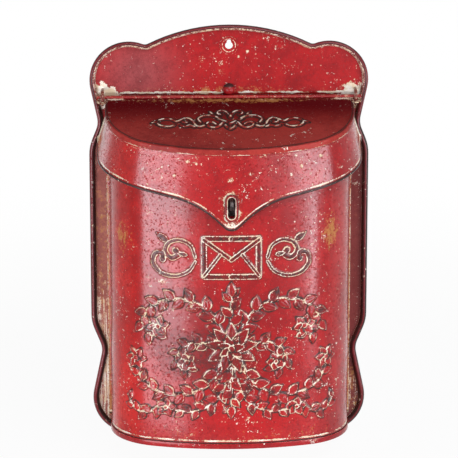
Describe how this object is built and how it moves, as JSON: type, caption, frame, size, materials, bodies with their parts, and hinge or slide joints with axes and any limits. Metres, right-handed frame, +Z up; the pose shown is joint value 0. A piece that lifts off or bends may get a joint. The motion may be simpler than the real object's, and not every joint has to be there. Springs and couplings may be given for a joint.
{
  "type": "wall letter box",
  "caption": "Wall letter box of pressed sheet steel: lobed back plate with rolled rim, bow-fronted body, sloping flap lid on wire hinge loops, and a padlock staple through the flap.",
  "frame": {"origin": "centre of the hanging hole, on the wall plane at the back of the plate", "axes": "+Z up, +Y into the wall, the box's front faces -Y, +X to the right seen from the front"},
  "size_m": [0.26, 0.1083, 0.406],
  "materials": {
    "plate_paint": "worn satin paint",
    "rim_paint": "worn satin paint",
    "wire_paint": "worn satin paint",
    "bumper_rubber": "painted rubber",
    "body_paint": "worn satin paint",
    "pan_paint": "worn satin paint",
    "staple_steel": "dull zinc",
    "lid_paint": "worn satin paint",
    "apron_paint": "worn satin paint",
    "eyelet_paint": "worn satin paint"
  },
  "bodies": {
    "box": {"back_plate": "plate_paint", "rim_band": "rim_paint", "hinge_loop_left": "wire_paint", "hinge_loop_right": "wire_paint", "lid_bumper": "bumper_rubber", "body_shell": "body_paint", "bottom_pan": "pan_paint", "lock_staple": "staple_steel", "staple_rivets": "staple_steel"},
    "lid": {"lid_panel": "lid_paint", "lid_apron": "apron_paint", "slot_eyelet": "eyelet_paint"}
  },
  "joints": [
    {"name": "lid_hinge", "type": "hinge", "parent": "box", "child": "lid", "pos_m": [0, -0.008, -0.0475], "axis": [-1, 0, 0], "range_deg": [0, 108]}
  ]
}
